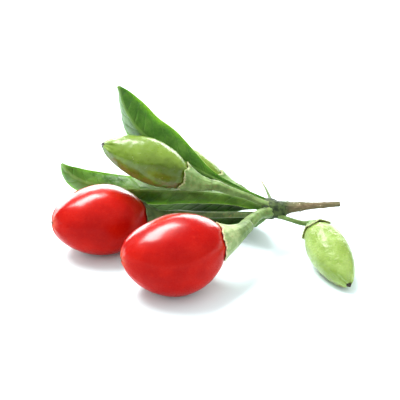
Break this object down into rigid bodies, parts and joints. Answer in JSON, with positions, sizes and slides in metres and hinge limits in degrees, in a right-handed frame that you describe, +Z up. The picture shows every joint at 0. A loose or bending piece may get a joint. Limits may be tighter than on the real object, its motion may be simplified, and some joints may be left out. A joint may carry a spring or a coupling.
{
  "type": "goji berry sprig",
  "caption": "Cut sprig of goji with ripe and unripe berries in their calyces, slender stalks, a whorl of narrow leaves, a thorn and a short stub of twig, lying down.",
  "frame": {"origin": "middle of the sprig's footprint, on the surface it lies on", "axes": "+X along the sprig's length, from the tips of the left berry and leaves to the cut end of the twig; +Y away from the side the front berry is on; +Z up"},
  "size_m": [0.047, 0.033, 0.0235],
  "materials": {
    "ripe_skin": "smooth, thin, shiny and slightly see-through skin of a ripe berry",
    "unripe_skin": "smooth, dull sheen of an unripe berry",
    "calyx": "soft, matte, with a dry brown rim",
    "stalk": "soft, matte, finely ribbed",
    "leaf": "waxy upper face with sunken veins, paler underside",
    "bark": "rough thin bark with small pale pores"
  },
  "bodies": {
    "root": {"berry_ripe_front": "ripe_skin", "calyx_ripe_front": "calyx", "stalk_ripe_front": "stalk", "berry_ripe_left": "ripe_skin", "calyx_ripe_left": "calyx", "stalk_ripe_left": "stalk", "berry_unripe_upper": "unripe_skin", "calyx_unripe_upper": "calyx", "stalk_unripe_upper": "stalk", "berry_unripe_right": "unripe_skin", "calyx_unripe_right": "calyx", "stalk_unripe_right": "stalk", "berry_unripe_rear": "unripe_skin", "calyx_unripe_rear": "calyx", "stalk_unripe_rear": "stalk", "leaf_top": "leaf", "leaf_left": "leaf", "leaf_low": "leaf", "leaf_back": "leaf", "leaf_drooping": "leaf", "twig": "bark", "thorn": "stalk"}
  },
  "joints": []
}
